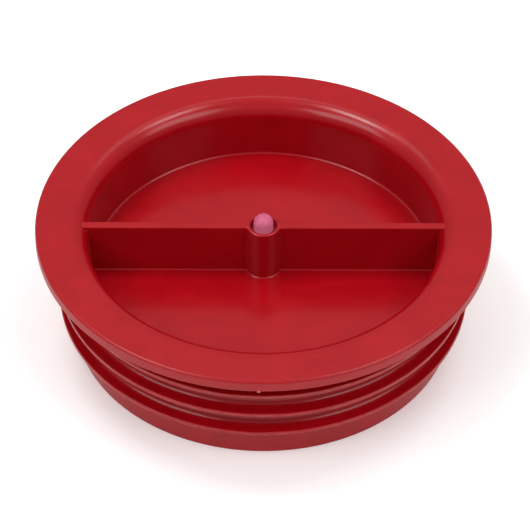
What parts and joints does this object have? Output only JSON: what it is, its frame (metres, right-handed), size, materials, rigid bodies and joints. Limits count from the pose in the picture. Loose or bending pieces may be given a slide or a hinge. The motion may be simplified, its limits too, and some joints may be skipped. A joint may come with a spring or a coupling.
{
  "type": "barrier filling plug",
  "caption": "Round push-in plug with a wide flange, ribbed skirt, sunken bowl with grip bar and post, and a soft domed vent plug in the post.",
  "frame": {"origin": "centre of the plug's bottom rim, on the plane that the rim stands on", "axes": "+Z along the plug's axis, from the bottom rim up through the flange; X along the grip bar; -Y is the side with the gate vestige"},
  "size_m": [0.15, 0.15, 0.0455],
  "materials": {
    "body_plastic": "red injection-moulded polyethylene, satin gloss",
    "vent_rubber": "pink soft moulded rubber, slightly translucent"
  },
  "bodies": {
    "plug": {"plug_body": "body_plastic"},
    "vent": {"vent_plug": "vent_rubber"}
  },
  "joints": [
    {"name": "vent_pull", "type": "slide", "parent": "plug", "child": "vent", "axis": [0, 0, 1], "range_m": [0, 0.018]}
  ]
}
